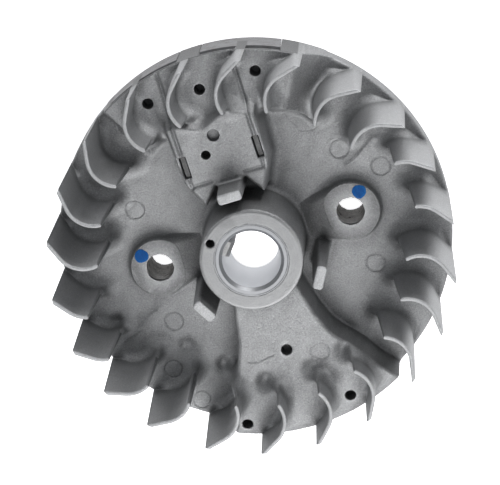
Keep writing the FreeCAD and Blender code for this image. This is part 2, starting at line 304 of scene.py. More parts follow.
# %% Holes and slots
core_pins = [(-14.7, 45.1, 20.5, 1.45, 5.0), (-0.5, 44.8, 20.5, 1.45, 5.0), (14.9, 45.1, 20.5, 1.45, 5.0),
             (-0.2, 33.1, 25.8, 1.6, 1.6), (-3.7, 28.6, 25.8, 1.2, 9.0), (0.0, -29.4, 24.2, 1.5, 4.0),
             (12.5, -47.2, 24.2, 1.5, 7.0), (-16.8, -47.2, 24.2, 1.5, 7.0)]
core_pins.append((*on_circle(11.6, key_angle), hub_top, 1.15, 6.0))


def hollowed(metal, x, y, z, r):
    """The casting with its bores, bolt holes, slots and core-pin holes cut."""
    bore = np.maximum(r - bush_radius, bush_bottom - z)
    for radius, top in ((nut_radius, bush_bottom), (socket_radius, socket_top)):
        bore = np.minimum(bore, np.maximum(r - radius, z - top))
    metal = carved(metal, bore, 0.12)
    across = np.hypot(np.abs(x) - bolt_x, y)
    seat = np.maximum(across - wire_radius_out, np.maximum(z - boss_face + 0.3, 0.3 - z))
    metal = carved(metal, np.minimum(across - thread_radius - 0.15, seat), 0.2)
    slot = np.maximum(np.maximum(slab(np.abs(x), 9.05, 10.95), slab(y, 23.85, 29.75)), slab(z, 20.4, 30.0))
    metal = carved(metal, slot, 0.25)
    for cx, cy, top, radius, depth in core_pins:
        here = nearby(x, y, cx, cy, radius + 2.5)
        if here.any():
            d = np.hypot(x[here] - cx, y[here] - cy) - radius + 0.02 * (top - z[here])
            metal[here] = carved(metal[here], np.maximum(d, top - depth - z[here]), 0.2)
    for first, last in pole_spans.values():
        span = sector(x, y, first, last)
        pocket = np.maximum(span, np.maximum(pole_inner_radius - r, z - pole_top))
        groove = np.maximum(span, np.maximum(pole_groove_radius - r, z - pole_groove_top))
        metal = carved(metal, np.minimum(pocket, groove), 0.15)
    return metal


# %% The whole casting
def body(x, y, z):
    """Distance to the casting. The blades' lowest few millimetres are in it, to give them fillets."""
    r = np.hypot(x, y)
    z = z - relief(x, y) * soft_step((z - 9.0) / 1.5)
    spot = (x, y, z, r)
    metal = web(z, r)
    level = 2.2 * soft_step((z - 8.5) / 2.5)
    join(metal, magnet_shelf, spot, (y > 9) & (r > 32), level)
    join(metal, magnet_pad, spot, (y > 9) & (np.abs(x) < 17), 2.4)
    join(metal, counterweight, spot, (y < -6) & (np.abs(x) < 40), level * 0.4)
    join(metal, hub_front, spot, r < 20, 1.6)
    join(metal, hub_back, spot, r < 21, 1.3)
    metal = np.maximum(metal, r - fan_radius)
    by_bolt = nearby(np.abs(x), y, bolt_x, 0, 18)
    join(metal, boss, spot, by_bolt, 1.3)
    join(metal, boss_column, spot, by_bolt, 1.5)
    for angle in lug_angles:
        join(metal, lug(angle), spot, nearby(x, y, *on_circle(lug_distance, angle), 8), 1.1)
    metal = blade_roots(metal, x, y, z, r)
    return hollowed(metal, x, y, z, r)


def blade_roots(metal, x, y, z, r):
    """Thin stubs that stay hidden inside the blades and give them their fillets."""
    ground = metal.copy()
    for angle, end, here in blades_near(x, y, 15, z > 7):
        wall = blade(x[here], y[here], z[here], angle, end)
        wall = wall + 0.03 + 0.35 * soft_step((ground[here] - 3.8) / 2)
        for limit in (ground[here] - 6.0, r[here] - fan_radius + 0.03, z[here] - blade_top + 0.3):
            wall = np.maximum(wall, limit)
        size = 2.6 + 1.4 * soft_step((46 - r[here]) / 5)
        metal[here] = fillet(metal[here], wall, size * (0.1 + 0.9 * soft_step((52.2 - r[here]) / 2.5)))
    return metal


print("metal at the web's middle:", round(float(body(*np.array([[30.0], [-9.0], [9.3]]))[0]), 2), "mm deep")

# %% [markdown]
# ## From distances to a skin
# The distances are read on a fine grid, but only in the small blocks that the
# surface passes through. Every grid cell that the surface crosses gets one point,
# neighbouring points are joined into squares, and each point is then slid along the
# slope until it lies exactly on the surface.

# %% Slope of a distance
def slope(field, p, h=0.04):
    """Direction in which the distance grows, by small steps each way."""
    parts = []
    for axis in range(3):
        ahead, behind = p.copy(), p.copy()
        ahead[axis] += h
        behind[axis] -= h
        parts.append((field(*ahead) - field(*behind)) / (2 * h))
    return np.array(parts)


def in_chunks(work, p, size=150000):
    """Runs work on a long list of points (3 x n), one part at a time."""
    return np.concatenate([work(p[:, n:n + size]) for n in range(0, p.shape[1], size)], axis=-1)


def distances(field, p):
    return in_chunks(lambda part: field(*part), p)


# %% Grid, points and squares
def read_grid(field, low, step, blocks, cells=8):
    """Distances at every grid corner near the surface, and the cells worth looking at."""
    places = np.indices(blocks).reshape(3, -1)
    coarse = distances(field, low[:, None] + (places + 0.5) * step * cells).reshape(blocks)
    keep = np.abs(coarse) < 0.87 * step * cells * 1.25
    spread = lambda a: a.repeat(cells, 0).repeat(cells, 1).repeat(cells, 2)
    grid = np.pad(spread(coarse), ((0, 1),) * 3, mode="edge")
    cell_used = spread(keep)
    corner_used = np.zeros(grid.shape, bool)
    n = cell_used.shape
    for i, j, k in np.ndindex(2, 2, 2):
        corner_used[i:i + n[0], j:j + n[1], k:k + n[2]] |= cell_used
    spots = np.array(np.nonzero(corner_used))
    grid[tuple(spots)] = distances(field, low[:, None] + spots * step)
    return grid, cell_used


def skin(field, low, high, step):
    low, high = np.array(low, float), np.array(high, float)
    blocks = tuple(np.ceil((high - low) / step / 8).astype(int))
    grid, cell_used = read_grid(field, low, step, blocks)
    inside = grid < 0
    n = cell_used.shape
    corners = sum(inside[i:i + n[0], j:j + n[1], k:k + n[2]].astype(np.int8)
                  for i, j, k in np.ndindex(2, 2, 2))
    cells = np.array(np.nonzero((corners > 0) & (corners < 8)))
    number = np.full(n, -1)
    number[tuple(cells)] = np.arange(cells.shape[1])
    points = low[:, None] + (cells + crossing_mean(grid, cells)) * step
    return settle(field, points, step), squares(inside, number)


def crossing_mean(grid, cells):
    """Mean place, within each cell, of the crossings on its twelve edges."""
    total, count = np.zeros(cells.shape), np.zeros(cells.shape[1])
    for axis in range(3):
        for i, j in np.ndindex(2, 2):
            start = np.insert(np.array([i, j]), axis, 0)
            end = start + np.eye(3, dtype=int)[axis]
            a = grid[tuple(cells + start[:, None])]
            b = grid[tuple(cells + end[:, None])]
            cut = (a < 0) != (b < 0)
            t = np.where(cut, a / np.where(cut, a - b, 1), 0)
            total += cut * (start[:, None] + t * np.eye(3)[axis][:, None])
            count += cut
    return total / count


def squares(inside, number):
    """One square round every grid edge that passes through the surface."""
    faces = []
    for axis in range(3):
        b, c = np.eye(3, dtype=int)[(axis + 1) % 3], np.eye(3, dtype=int)[(axis + 2) % 3]
        ahead = np.roll(inside, -1, axis)
        flip = np.array(np.nonzero(inside != ahead))
        flip = flip[:, (flip.min(0) > 0) & (flip < np.array(number.shape)[:, None]).all(0)]
        ring = [number[tuple(flip - s[:, None])] for s in (0 * b, b, b + c, c)]
        quad = np.array(ring).T
        outward = inside[tuple(flip)]
        faces.append(np.where(outward[:, None], quad, quad[:, ::-1]))
    return np.concatenate(faces)


def settle(field, p, step, rounds=3):
    """Slides each point along the slope until it lies on the surface."""
    def closer(part):
        g = slope(field, part)
        size = np.maximum((g * g).sum(0), 0.25)
        return part - np.clip(field(*part), -step / 2, step / 2) * g / size

    for _ in range(rounds):
        p = in_chunks(closer, p)
    return p


# %% Plain meshes from arrays
def mesh_from(name, points, faces):
    """A mesh from millimetre points (3 x n) and square faces."""
    mesh = bpy.data.meshes.new(name)
    mesh.vertices.add(points.shape[1])
    mesh.vertices.foreach_set("co", (points.T * MM).astype(np.float32).ravel())
    mesh.loops.add(faces.size)
    mesh.loops.foreach_set("vertex_index", faces.astype(np.int32).ravel())
    mesh.polygons.add(len(faces))
    mesh.polygons.foreach_set("loop_start", np.arange(0, faces.size, 4, dtype=np.int32))
    mesh.update(calc_edges=True)
    mesh.validate()
    return mesh


def read(items, name, wide=1, kind=float):
    """One property of all of a mesh's points, corners or faces."""
    values = np.zeros(len(items) * wide, kind)
    items.foreach_get(name, values)
    return values.reshape(-1, wide) if wide > 1 else values


def show(name, mesh):
    piece = bpy.data.objects.new(name, mesh)
    bpy.context.scene.collection.objects.link(piece)
    return piece


def finished(piece):
    """Turns a piece's modifiers into plain mesh."""
    bpy.context.view_layer.update()
    solid = bpy.data.meshes.new_from_object(piece.evaluated_get(bpy.context.evaluated_depsgraph_get()))
    piece.modifiers.clear()
    piece.data = solid
    solid.name = piece.name
    return piece


def triangles(mesh):
    mesh.calc_loop_triangles()
    return len(mesh.loop_triangles)


# %% The casting's skin
grid_step = 0.36
triangle_limit = 190000
skin_points, skin_faces = skin(body, (-54.5, -54.5, -1.0), (54.5, 54.5, 37.5), grid_step)
wheel_body = show("wheel_casting", mesh_from("wheel_casting", skin_points, skin_faces))
print("skin:", triangles(wheel_body.data), "triangles from a", grid_step, "mm grid")

# %% Thinning the flat faces
thin = wheel_body.modifiers.new("Thin", "DECIMATE")
thin.ratio = min(1.0, triangle_limit / triangles(wheel_body.data))
finished(wheel_body)
print("after thinning:", triangles(wheel_body.data), "triangles")

# %% [markdown]
# ## Nodes written as sums
# Both Geometry Nodes and shaders are graphs of small steps. Typing `1 - mask * 0.4`
# is easier to read than three boxes and their links, so one small class wraps a
# socket and turns arithmetic into Math nodes. One method of the board makes every
# other kind of node.

# %% Board and signal
class Signal:
    """One output socket that can be used like a number."""

    def __init__(self, board, socket):
        self.board, self.socket = board, socket

    def maths(self, operation, *values, clamp=False):
        settings = {"operation": operation, "use_clamp": clamp}
        return self.board.add("ShaderNodeMath", settings, dict(enumerate(values)))

    def __add__(self, other): return self.maths("ADD", self, other)
    def __radd__(self, other): return self.maths("ADD", other, self)
    def __sub__(self, other): return self.maths("SUBTRACT", self, other)
    def __rsub__(self, other): return self.maths("SUBTRACT", other, self)
    def __mul__(self, other): return self.maths("MULTIPLY", self, other)
    def __rmul__(self, other): return self.maths("MULTIPLY", other, self)
    def __truediv__(self, other): return self.maths("DIVIDE", self, other)
    def __pow__(self, other): return self.maths("POWER", self, other)

    def clamped(self, start=0.0):
        """The signal less start, held between 0 and 1."""
        return self.maths("SUBTRACT", self, start, clamp=True)

    def function(self, operation, *others):
        return self.maths(operation, self, *others)


class Board:
    """A node tree being built."""

    def __init__(self, tree):
        self.tree = tree

    def add(self, kind, settings=None, inputs=None, output=0):
        node = self.tree.nodes.new(kind)
        for name, value in (settings or {}).items():
            if name == "stops":
                self.set_stops(node.color_ramp, value)
            else:
                setattr(node, name, value)
        for key, value in (inputs or {}).items():
            if isinstance(value, Signal):
                self.tree.links.new(value.socket, node.inputs[key])
            else:
                node.inputs[key].default_value = value
        return Signal(self, node.outputs[output]) if len(node.outputs) else node

    def vector(self, x=0.0, y=0.0, z=0.0):
        return self.add("ShaderNodeCombineXYZ", inputs={0: x, 1: y, 2: z})

    def set_stops(self, ramp, stops):
        while len(ramp.elements) > 1:
            ramp.elements.remove(ramp.elements[-1])
        ramp.elements[0].position, ramp.elements[0].color = stops[0]
        for place, colour in stops[1:]:
            ramp.elements.new(place).color = colour


# %% Geometry trees with named inputs
class Shaper(Board):
    """A Geometry Nodes tree with named inputs and a finish at its end."""

    def __init__(self, name, numbers, finish):
        super().__init__(bpy.data.node_groups.new(name, "GeometryNodeTree"))
        face = self.tree.interface
        face.new_socket("Geometry", in_out="INPUT", socket_type="NodeSocketGeometry")
        face.new_socket("Geometry", in_out="OUTPUT", socket_type="NodeSocketGeometry")
        self.identifiers = {}
        for label, value in numbers.items():
            whole = isinstance(value, int)
            kind = "NodeSocketInt" if whole else "NodeSocketFloat"
            self.identifiers[label] = face.new_socket(label, in_out="INPUT", socket_type=kind).identifier
        self.entry = self.tree.nodes.new("NodeGroupInput")
        self.numbers, self.finish = numbers, finish

    def given(self, label):
        return Signal(self, self.entry.outputs[label])

    def swept(self, path, section):
        """A closed bar: the section carried along the path, with caps on its ends."""
        curves = {"Curve": path, "Profile Curve": section, "Fill Caps": True}
        return self.add("GeometryNodeCurveToMesh", inputs=curves)

    def placed(self, points, copy, **more):
        """A copy at each point."""
        sockets = {"Points": points, "Instance": copy, **more}
        return self.add("GeometryNodeInstanceOnPoints", inputs=sockets)

    def close(self, geometry):
        """Realises the instances, sets the finish and ends the tree."""
        solid = self.add("GeometryNodeRealizeInstances", inputs={"Geometry": geometry})
        dressed = self.add("GeometryNodeSetMaterial", inputs={"Geometry": solid, "Material": self.finish})
        end = self.tree.nodes.new("NodeGroupOutput")
        self.tree.links.new(dressed.socket, end.inputs["Geometry"])

    def build(self, name, start=None, **changes):
        """Runs the tree on an object and keeps the result as a plain mesh."""
        piece = show(name, start or bpy.data.meshes.new(name))
        modifier = piece.modifiers.new("Shape", "NODES")
        modifier.node_group = self.tree
        for label, value in {**self.numbers, **changes}.items():
            modifier[self.identifiers[label]] = value
        return finished(piece)


print("helpers ready")

# %% [markdown]
# ## Finishes
# Everything here is bare metal except the paint. What tells one part from another
# is how rough it is, how it was cut, and how much dust and painted shade it holds, so each finish has
# its own grain, its own scatter of colour and its own bump. Two numbers are stored
# on the casting's points: `hollow`, which is high in corners and darkens them as painted shade and dust, and
# `edge`, which is high where an edge stands proud and rubs clean.

# %% Tools for finishes
class Finish(Board):
    def __init__(self, name):
        self.material = bpy.data.materials.new(name)
        self.material.use_nodes = True
        super().__init__(self.material.node_tree)
        self.tree.nodes.clear()
        self.place = self.add("ShaderNodeTexCoord", output="Object")

    def grain(self, size_mm, detail=3.0, roughness=0.55, stretch=(1, 1, 1)):
        """Cloudy noise with features of about this size."""
        spot = self.add("ShaderNodeMapping", inputs={"Vector": self.place, "Scale": stretch})
        sockets = {"Vector": spot, "Scale": 1 / (size_mm * MM), "Detail": detail, "Roughness": roughness}
        return self.add("ShaderNodeTexNoise", inputs=sockets)

    def stored(self, name):
        return self.add("ShaderNodeAttribute", {"attribute_name": name}, output="Fac")

    def axes(self):
        """The place on the wheel in millimetres: X, Y, Z and the radius."""
        x, y, z = [self.add("ShaderNodeSeparateXYZ", inputs={"Vector": self.place}, output=name) * (1 / MM)
                   for name in "XYZ"]
        return x, y, z, (x * x + y * y) ** 0.5

    def grey(self, shade, *tint):
        """A grey of varying shade, tinted by a share of red, green and blue."""
        return self.vector(*(shade * share for share in tint))

    def blend(self, amount, first, second):
        colours = {"Factor": amount, 6: first, 7: second}
        return self.add("ShaderNodeMix", {"data_type": "RGBA"}, colours, output=2)

    def ramp(self, signal, *stops):
        shades = [(place, (*shade, 1) if isinstance(shade, tuple) else (shade, shade, shade, 1))
                  for place, shade in stops]
        return self.add("ShaderNodeValToRGB", {"stops": shades}, {"Fac": signal})

    def bump(self, height, depth_mm, strength=1.0, after=None):
        sockets = {"Height": height, "Distance": depth_mm * MM, "Strength": strength}
        if after:
            sockets["Normal"] = after
        return self.add("ShaderNodeBump", inputs=sockets)

    def surface(self, **sockets):
        """Ends the finish with one Principled surface."""
        named = {key.replace("_", " "): value for key, value in sockets.items()}
        shader = self.add("ShaderNodeBsdfPrincipled", inputs=named)
        self.add("ShaderNodeOutputMaterial", inputs={"Surface": shader})
        return self.material


# %% [markdown]
# ### Cast and blasted aluminium
# Die castings are blasted, which leaves a matt, sandy grey with fine sparkle.
# Corners are darkened with painted shade and some dust, and the bolt faces are made darker.
# The blade tops are painted lighter, partly as painted light and partly as wear. The hub's end and the rim
# over the magnet were cut on a lathe, so they are smoother, with fine rings from the tool; the rim is also
# darkened as painted shade.

# %% Cast aluminium
def band(signal, low, high, soft):
    """1 between low and high, fading out over soft."""
    rise = ((signal - low) / soft).clamped()
    fall = ((high - signal) / soft).clamped()
    return rise * fall


def cast_aluminium():
    f = Finish("blasted_casting")
    x, y, z, radius = f.axes()
    hub_end = band(z, hub_top - 0.25, 40.0, 0.2) * (1 - (radius - 13.2).clamped())
    by_magnet = ((y * math.tan(math.radians(30)) - x.function("ABSOLUTE")) * 3 + 1).clamped()
    rim_cut = ((radius - 53.15) / 0.1).clamped() * ((shelf_height + 0.3 - z) / 0.3).clamped() * by_magnet
    cut = hub_end.function("MAXIMUM", rim_cut)
    # The blade tops are painted lighter: painted light for their open, well-lit tops, with some wear
    tip_light_and_wear = band(z, blade_top - 0.35, 40.0, 0.25)
    sand, cloud, mottle = f.grain(0.42, 4.0, 0.7), f.grain(9.0, 3.0), f.grain(2.2, 4.0)
    speck = f.ramp(f.grain(0.30, 1.0), (0.60, 0.0), (0.72, 1.0))
    hollow, edge = f.stored("hollow"), f.stored("edge")
    shade = 0.40 + (cloud - 0.5) * 0.10 + (mottle - 0.5) * 0.12 + (sand - 0.5) * 0.46 + speck * 0.14
    beside = x.function("ABSOLUTE") - bolt_x
    round_bolt = 1 - ((beside * beside + y * y) ** 0.5 - 8.5).clamped()
    on_boss = band(z, boss_face - 0.2, boss_face + 0.4, 0.15) * round_bolt
    # hollow darkens corners and recesses as painted shade with some dust, and edge lightens proud edges as
    # wear
    shade = shade * (1 - hollow * 0.46) * (1 - on_boss * 0.36) + edge * 0.16 + tip_light_and_wear * 0.13
    rings = (radius * 9.0 + cloud * 5.0).function("SINE") * 0.5 + 0.5
    clean = 0.30 + (mottle - 0.5) * 0.10 + (sand - 0.5) * 0.10 + (rings - 0.5) * 0.008
    # The turned rim over the magnet is painted darker where rim_cut is high: painted shade
    shade = shade * (1 - cut) + clean * (1 - rim_cut * 0.35) * cut
    tint = f.grey(shade, 0.985, 0.995, 1.01)
    rough = 0.50 + (mottle - 0.5) * 0.16 + hollow * 0.10 - edge * 0.08
    rough = rough * (1 - cut) + (0.42 + (mottle - 0.5) * 0.08) * cut
    skin_bump = f.bump(sand * (1 - cut * 0.7), 0.20, 1.0)
    skin_bump = f.bump(mottle * (1 - cut), 0.16, 0.55, skin_bump)
    skin_bump = f.bump(rings * cut, 0.004, 0.4, skin_bump)
    return f.surface(Base_Color=tint, Metallic=0.9, Roughness=rough, Normal=skin_bump)


casting_finish = cast_aluminium()
print("finish:", casting_finish.name)

# %% [markdown]
# ### Turned steel, key steel and thread wire
# The bush is bored to the crankshaft's taper, so its marks are rings. The wire of
# the thread inserts is drawn stainless steel with a faint brown film of oil.

# %% Turned and drawn steels
def turned_steel():
    f = Finish("turned_bush")
    x, y, z, radius = f.axes()
    wave = ((radius + z * 0.7) * 11.0 + f.grain(3.0) * 4.0).function("SINE") * 0.5 + 0.5
    cloud, fine = f.grain(5.0), f.grain(0.25, 3.0)
    end = ((z - hub_top + 1.1) * 4).clamped()
    joint = (1 - ((radius - 9.5).function("ABSOLUTE") * 5).clamped()) * (cloud * 3 - 0.8).clamped()
    # The bore is painted far lighter than the bush's end face: painted light for the light that reaches the
    # bore
    shade = 0.88 - end * 0.52 + (wave - 0.5) * 0.03 + (cloud - 0.5) * 0.10 + (fine - 0.5) * 0.10
    shade = shade * (1 - end * joint * 0.8)
    tint = f.grey(shade, 0.97, 0.99, 1.03)
    rough = 0.42 + (cloud - 0.5) * 0.2
    bumps = f.bump(fine, 0.03, 0.6, f.bump(wave, 0.008, 0.6))
    return f.surface(Base_Color=tint, Metallic=0.75, Roughness=rough, Normal=bumps)


def plain_steel(name, dark, light, rough, grain_mm, stretch=(1, 1, 1), warm=1.0):
    """Ground or drawn steel with a patchy film."""
    f = Finish(name)
    patch, fine = f.grain(grain_mm * 8), f.grain(grain_mm, 4.0, 0.65, stretch)
    shade = f.ramp(patch * 0.6 + fine * 0.4, (0.35, dark), (0.65, light))
    tint = f.add("ShaderNodeMix", {"data_type": "RGBA", "blend_type": "MULTIPLY"},
                 {"Factor": 1.0, 6: shade, 7: (warm, 1.0, 2.0 - warm, 1.0)}, output=2)
    return f.surface(Base_Color=tint, Metallic=0.9, Roughness=rough + (patch - 0.5) * 0.25,
                     Normal=f.bump(fine, 0.04, 0.7))


bush_finish = turned_steel()
key_finish = plain_steel("ground_key", 0.22, 0.42, 0.45, 0.4)
wire_finish = plain_steel("drawn_wire", 0.40, 0.80, 0.32, 0.3, warm=1.02)
rivet_finish = plain_steel("rivets", 0.30, 0.45, 0.4, 0.3)
plate_finish = plain_steel("plate_steel", 0.10, 0.22, 0.5, 0.35, (1, 1, 0.3))

# %% [markdown]
# ### Stacked sheets, magnet and paint
# The pole shoes are turned together with the rim, so their edges carry fine turning
# lines and a little rust. The magnet is a sintered block, nearly black. The paint is
# an inspector's dab: full in the middle, thin and streaky at its edge.

# %% Sheets, magnet and paint
def pole_steel():
    f = Finish("sheet_edges")
    x, y, z, radius = f.axes()
    lines = (z * 21.0 + f.grain(2.0) * 3.0).function("SINE") * 0.5 + 0.5
    rust, fine = f.grain(2.6, 5.0, 0.7), f.grain(0.3, 3.0)
    shade = f.blend((rust - 0.48) * 4.0, (0.30, 0.30, 0.31, 1), (0.17, 0.155, 0.145, 1))
    tint = f.blend(lines * 0.35, shade, (0.42, 0.42, 0.43, 1))
    bumps = f.bump(fine, 0.03, 0.7, f.bump(lines, 0.012, 0.8))
    return f.surface(Base_Color=tint, Metallic=0.85, Roughness=0.40 + (rust - 0.5) * 0.3, Normal=bumps)


def magnet_black():
    f = Finish("sintered_magnet")
    grit = f.grain(0.5, 5.0, 0.7)
    tint = f.ramp(grit, (0.3, (0.035, 0.034, 0.034)), (0.7, (0.075, 0.073, 0.072)))
    rough = 0.6 + (grit - 0.5) * 0.2
    return f.surface(Base_Color=tint, Metallic=0.3, Roughness=rough, Normal=f.bump(grit, 0.05))


def blue_paint():
    f = Finish("paint_dab")
    streak, fine = f.grain(0.8, 3.0, 0.6, (1, 0.35, 1)), f.grain(0.18, 2.0)
    thin = f.stored("thin")
    tint = f.ramp(streak * 0.7 + fine * 0.3 + thin * 0.25,
                  (0.30, (0.0, 0.06, 0.24)), (0.62, (0.003, 0.10, 0.37)), (0.86, (0.03, 0.18, 0.44)))
    rough = 0.55 + (streak - 0.5) * 0.3 + thin * 0.2
    bumps = f.bump(streak, 0.05, 0.8, f.bump(fine, 0.02))
    return f.surface(Base_Color=tint, Specular_IOR_Level=0.2, Roughness=rough, Normal=bumps)


pole_finish, magnet_finish, paint_finish = pole_steel(), magnet_black(), blue_paint()
print("finishes:", len(bpy.data.materials))

# %% [markdown]
# ## The blades
# One blade is a grid of squares bent by the blade rule: rows run along the blade
# from the rim to the inner end, columns run over its top. Geometry Nodes place one
# such grid for each of the 22 angles and bend them all at once, because each copy
# brings its own angle and its own inner end with it.

# %% One point for each blade
blade_points = bpy.data.meshes.new("blade_points")
blade_points.from_pydata([(0, 0, 0)] * 22, [], [])
for label, values in (("turn", [math.radians(a) for a in blade_angles]), ("inner_end", blade_ends)):
    blade_points.attributes.new(label, "FLOAT", "POINT").data.foreach_set("value", values)
print("blades:", len(blade_points.vertices))


# %% Blade tree
def blade_tree():
    g = Shaper("fan_blades", {
        "Fan Radius": fan_radius, "Top": blade_top, "Bottom": root_height, "Tip Width": tip_width,
        "Root Width": root_width, "Root Growth": root_growth, "Straight Length": straight,
        "Bend Radius": bend_radius, "Lean": lean, "Edge Round": 0.22}, casting_finish)
    rows, columns = 26, 19
    stored = g.add("GeometryNodeMeshGrid", inputs={"Vertices X": rows, "Vertices Y": columns})
    number = g.add("GeometryNodeInputIndex")
    row = (number / float(columns)).function("FLOOR")
    column = number - row * float(columns)
    for name, value in (("row", row), ("column", column)):
        stored = g.add("GeometryNodeStoreNamedAttribute", {"data_type": "FLOAT", "domain": "POINT"},
                       {"Geometry": stored, "Name": name, "Value": value})
    copies = g.placed(g.given("Geometry"), stored)
    solid = g.add("GeometryNodeRealizeInstances", inputs={"Geometry": copies})
    known = lambda name: g.add("GeometryNodeInputNamedAttribute", {"data_type": "FLOAT"}, {"Name": name})
    place = blade_place(g, *map(known, ("row", "column", "turn", "inner_end")), rows, columns)
    bent = g.add("GeometryNodeSetPosition", inputs={"Geometry": solid, "Position": place})
    joined = g.add("GeometryNodeMergeByDistance", inputs={"Geometry": bent, "Distance": 2e-6})
    g.close(joined)
    return g


def blade_place(g, row, column, turn, inner_end, rows, columns):
    """Where a grid point goes: over the blade's top by column, along the blade by row."""
    top, bottom, edge = g.given("Top"), g.given("Bottom"), g.given("Edge Round")
    half = (columns - 1) / 2
    side = (column - half).function("SIGN")
    step = (column - half).function("ABSOLUTE")
    down = edge * (0.29 * step.clamped(1) + 0.71 * step.clamped(2))
    down = down + (top - bottom - edge) * (((step - 3.0) / 5.0).clamped() ** 1.6)
    z = top - down
    drop = down / (top - bottom)
    width = (g.given("Tip Width") + (g.given("Root Width") - g.given("Tip Width")) * drop) * 0.5
    out = (width - edge) * step.clamped() + edge * (0.71 * step.clamped(1) + 0.29 * step.clamped(2))
    out = out - width * step.clamped(8)
    last = float(rows - 1)
    tail = ((row - (last - 5.0)) / 5.0).clamped() * (math.pi / 2)
    out = out * side * row.clamped() * tail.function("COSINE")
    return blade_curve(g, row, out, z, drop, width, tail, turn, inner_end, last)


def blade_curve(g, row, out, z, drop, width, tail, turn, inner_end, last):
    radius, lean_angle, run = g.given("Bend Radius"), g.given("Lean"), g.given("Straight Length")
    cos_lean, sin_lean = lean_angle.function("COSINE"), lean_angle.function("SINE")
    centre_x = g.given("Fan Radius") - run * cos_lean - radius * sin_lean
    centre_y = run * sin_lean - radius * cos_lean
    start = math.pi / 2 - lean_angle
    end = ((inner_end - g.given("Root Growth") * drop - centre_x) / radius).function("ARCCOSINE")
    begin = out * (sin_lean / cos_lean)
    full = run + (end - start) * radius - width
    along = begin + (full - begin) * ((row - 1.0) / (last - 6.0)).clamped() + width * tail.function("SINE")
    past = (along - run).function("MAXIMUM", 0.0)
    before = (along - run).function("MINIMUM", 0.0)
    angle = start + past / radius
    reach = radius + out
    x = centre_x + reach * angle.function("COSINE") - before * cos_lean
    y = centre_y + reach * angle.function("SINE") + before * sin_lean
    x, y = held_inside(x, y, g.given("Fan Radius"))
    c, s = turn.function("COSINE"), turn.function("SINE")
    return g.vector((x * c - y * s) * MM, (x * s + y * c) * MM, z * MM)


def held_inside(x, y, limit):
    """Keeps a point within the turned outside of the wheel."""
    shrink = (limit / ((x * x + y * y) ** 0.5)).function("MINIMUM", 1.0)
    return x * shrink, y * shrink


fan_blades = blade_tree().build("fan_blades", blade_points)
print("blades:", triangles(fan_blades.data), "triangles")

# %% [markdown]
# ## Painted shade and wear on the casting
# Corners are darkened with painted shade, which also stands for some dust, and edges are rubbed bright. The
# same
# distances tell where that is: a short step out from a corner is still close to
# metal, and a short step in from an edge is still close to air.

# %% Whole wheel as a distance
def wheel(x, y, z):
    """Distance to the casting with its full-height blades."""
    metal = body(x, y, z)
    ends = np.maximum(slab(z, 8.0, blade_top), np.hypot(x, y) - fan_radius)
    for angle, end, here in blades_near(x, y, 17):
        wall = blade(x[here], y[here], z[here], angle, end)
        metal[here] = np.minimum(metal[here], np.maximum(wall, ends[here]))
    return metal


def store(mesh, name, values):
    mesh.attributes.new(name, "FLOAT", "POINT").data.foreach_set("value", values.astype(np.float32))


def store_shade_and_wear(mesh, normals):
    """Stores hollow and edge on a mesh's points from the wheel's distances."""
    points = read(mesh.vertices, "co", 3).T / MM
    hollow = np.zeros(points.shape[1])
    for reach, share in ((1.0, 0.2), (2.5, 0.35), (5.5, 0.45)):
        open_way = distances(wheel, points + normals * reach)
        hollow += share * np.clip(1 - open_way / reach, 0, 1)
    inner = distances(wheel, points - normals * 0.35)
    # hollow later darkens the casting's colour as painted shade with some dust; edge lightens it as wear
    store(mesh, "hollow", np.clip(hollow * 1.2, 0, 1))
    store(mesh, "edge", np.clip((0.35 + inner) / 0.35 * 2.5, 0, 1))
    return hollow


# %% Light on the casting's faces
def crisp_normals(mesh, normals):
    """Keeps flat faces flat: a corner takes the smooth direction only where it is close to its face's own."""
    sizes = read(mesh.polygons, "loop_total", kind=int)
    flat = read(mesh.polygons, "normal", 3).repeat(sizes, 0)
    smooth = normals.T[read(mesh.loops, "vertex_index", kind=int)]
    limit = np.clip(12 / np.sqrt(read(mesh.polygons, "area") / 0.065e-6), 5, 42).repeat(sizes)
    close = (flat * smooth).sum(1) > np.cos(np.radians(limit))
    mesh.shade_smooth()
    mesh.normals_split_custom_set(np.where(close[:, None], smooth, flat))


def field_normals(mesh, field):
    normals = in_chunks(lambda part: slope(field, part), read(mesh.vertices, "co", 3).T / MM)
    return normals / np.maximum(np.sqrt((normals ** 2).sum(0)), 1e-6)


body_normals = field_normals(wheel_body.data, body)
hollow = store_shade_and_wear(wheel_body.data, body_normals)
crisp_normals(wheel_body.data, body_normals)
wheel_body.data.materials.clear()
wheel_body.data.materials.append(casting_finish)
print("hollow points:", int((hollow > 0.4).sum()), "of", len(hollow))

# %% Blades: sharp corners, painted shade and wear
fan_blades.data.set_sharp_from_angle(angle=math.radians(50))
fan_blades.modifiers.new("Flat sides", "WEIGHTED_NORMAL").keep_sharp = True
finished(fan_blades)
hollow = store_shade_and_wear(fan_blades.data, read(fan_blades.data.vertices, "normal", 3).T)
print("hollow points on the blades:", int((hollow > 0.4).sum()), "of", len(hollow))

# %% [markdown]
# ## Wire threads in the bolt holes
# A thread in soft aluminium is lined with a coil of steel wire. It is a path that
# repeats, so a spiral with a wire swept along it is all that is needed: ten turns
# at the pitch of the bolt.

